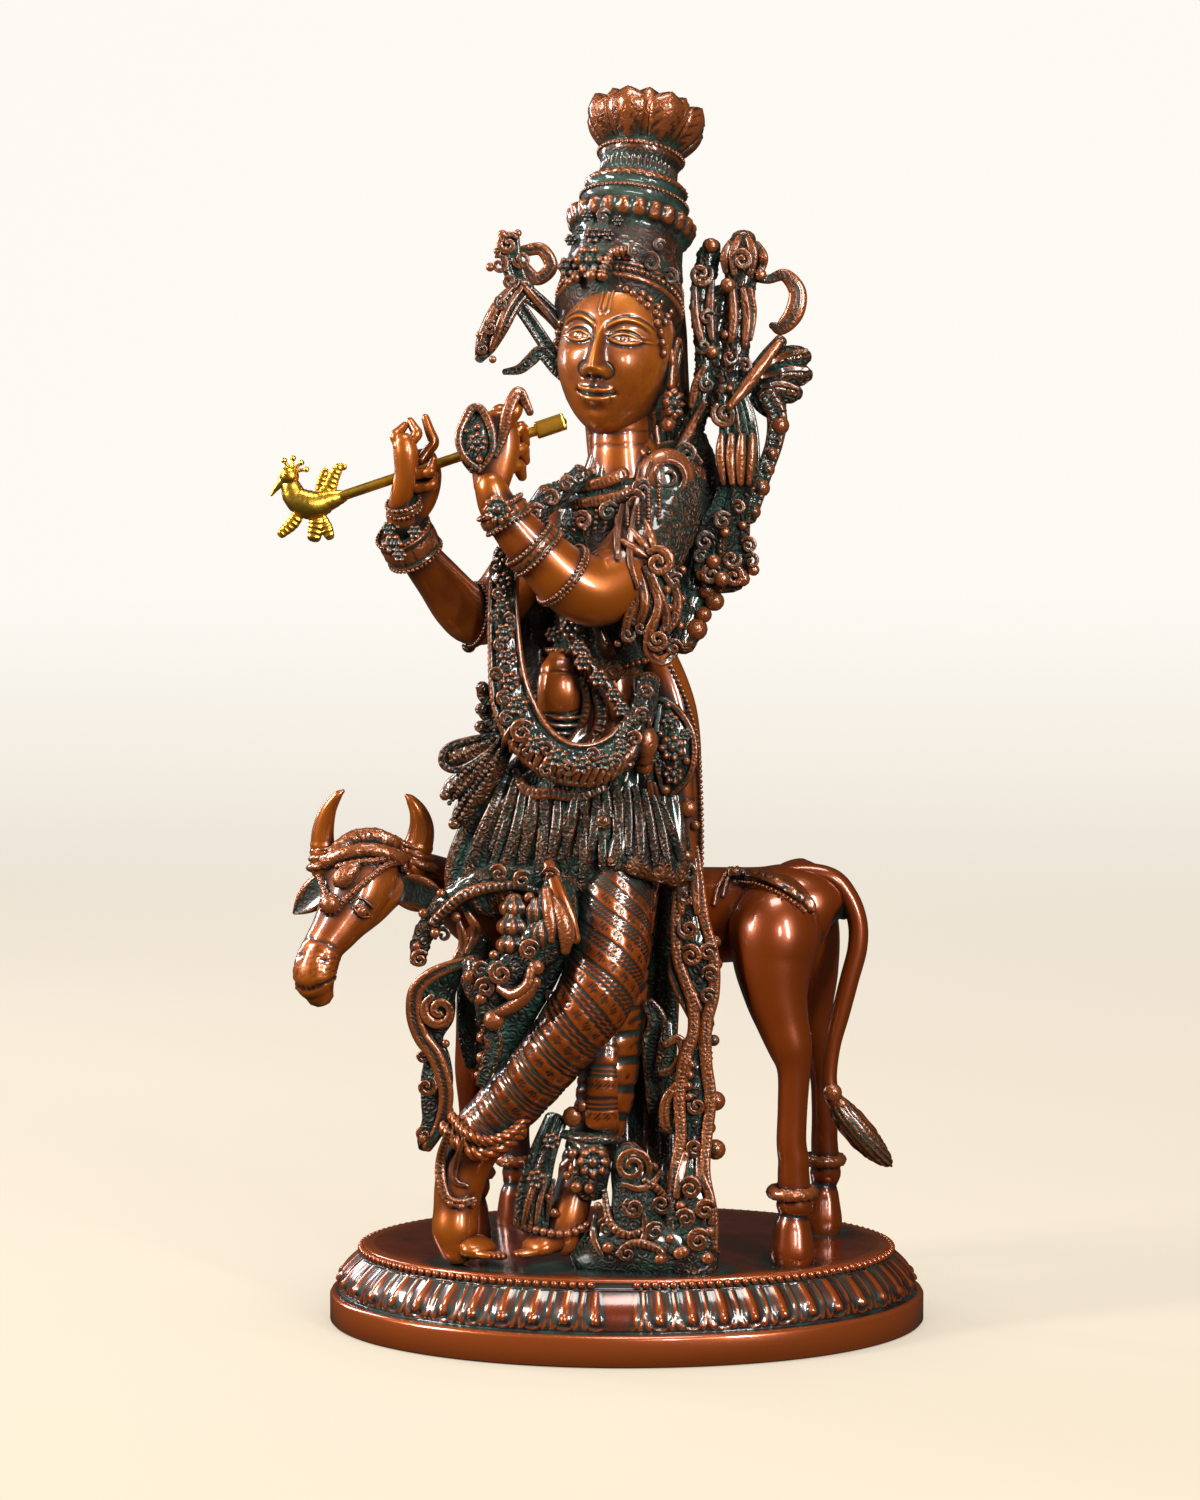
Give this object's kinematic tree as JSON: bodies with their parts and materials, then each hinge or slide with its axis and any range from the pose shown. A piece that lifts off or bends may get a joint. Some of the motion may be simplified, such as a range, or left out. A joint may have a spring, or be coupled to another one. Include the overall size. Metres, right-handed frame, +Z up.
{
  "type": "krishna figure",
  "caption": "Cast brass flute player in a tall crown, with crossed legs and scrolled scarves, before a standing cow on an oval lotus plinth.",
  "frame": {"origin": "middle of the plinth's flat underside", "axes": "+Z up, -Y towards the figure's front, +X to a viewer's right, towards the cow's tail"},
  "size_m": [0.2881, 0.1891, 0.5511],
  "materials": {
    "plinth_bronze": "reddish brown antique lacquer, verdigris in the petals",
    "figure_bronze": "antique copper lacquer, worn bright on the edges, verdigris in the recesses",
    "cow_bronze": "antique copper lacquer, smooth and glossy",
    "flute_brass": "bare polished brass"
  },
  "bodies": {
    "root": {"plinth": "plinth_bronze", "krishna_figure": "figure_bronze", "cow": "cow_bronze", "flute": "flute_brass"}
  },
  "joints": []
}
